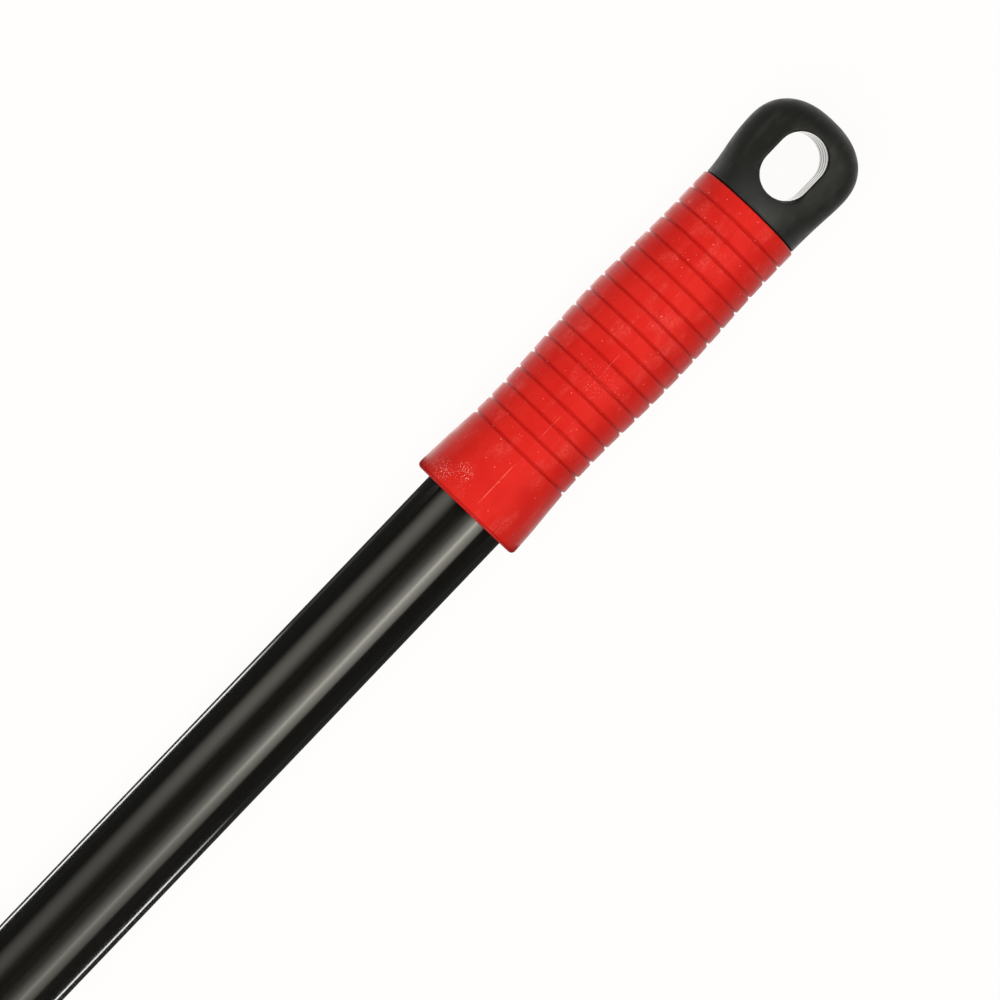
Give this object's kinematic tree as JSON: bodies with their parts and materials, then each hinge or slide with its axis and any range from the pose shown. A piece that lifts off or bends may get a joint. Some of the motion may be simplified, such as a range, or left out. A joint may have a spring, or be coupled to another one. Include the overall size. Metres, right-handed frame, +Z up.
{
  "type": "snow brush scraper",
  "caption": "Telescopic snow brush with a ribbed soft grip, a hanging eye, a cam clamp, a swivelling brush head and an ice scraper.",
  "frame": {"origin": "middle of the bounding box's bottom face, on the surface that the brush lies on with its bristles up", "axes": "+X along the pole towards the hanging eye, +Z up from the lying surface towards the bristle tips"},
  "size_m": [0.755, 0.104, 0.1067],
  "materials": {
    "black_moulding": "satin moulded polypropylene, fine grain",
    "red_soft": "satin soft PVC with faint moulding lines",
    "red_moulding": "semi-gloss moulded plastic",
    "black_paint": "gloss powder coat",
    "bare_aluminium": "drawn, clear satin",
    "white_nylon": "natural nylon",
    "zinc_steel": "bright zinc plate",
    "bristle_fibre": "satin synthetic filament"
  },
  "bodies": {
    "handle": {"hang_cap": "black_moulding", "grip_sleeve": "red_soft", "outer_tube": "black_paint", "mouth_bush": "white_nylon", "clamp_collar": "black_moulding", "collar_screw": "zinc_steel", "lever_pin": "zinc_steel", "lock_shoe": "white_nylon"},
    "lever": {"lock_lever": "red_moulding"},
    "extension": {"inner_tube": "bare_aluminium", "tail_bush": "white_nylon", "swivel_hub": "black_moulding", "hub_screw_top": "zinc_steel", "hub_screw_bottom": "zinc_steel", "swivel_bolt": "zinc_steel", "swivel_nut": "zinc_steel", "bolt_washer": "zinc_steel", "thrust_washer": "white_nylon"},
    "head": {"brush_block": "red_moulding", "bristle_row_centre_rear": "bristle_fibre", "bristle_row_centre_front": "bristle_fibre", "bristle_row_inner_left": "bristle_fibre", "bristle_row_inner_right": "bristle_fibre", "bristle_row_outer_left": "bristle_fibre", "bristle_row_outer_right": "bristle_fibre", "scraper_blade": "black_moulding", "scraper_screw_left": "zinc_steel", "scraper_screw_right": "zinc_steel"}
  },
  "joints": [
    {"name": "lock_lever_turn", "type": "hinge", "parent": "handle", "child": "lever", "pos_m": [-0.04055, 0, 0.03535], "axis": [0, -1, 0], "range_deg": [0, 105]},
    {"name": "pole_extend", "type": "slide", "parent": "handle", "child": "extension", "axis": [-1, 0, 0], "range_m": [0, 0.27]},
    {"name": "brush_swivel", "type": "hinge", "parent": "extension", "child": "head", "pos_m": [-0.19555, 0, 0.0318], "axis": [0, 0, 1], "range_deg": [-90, 90]}
  ]
}
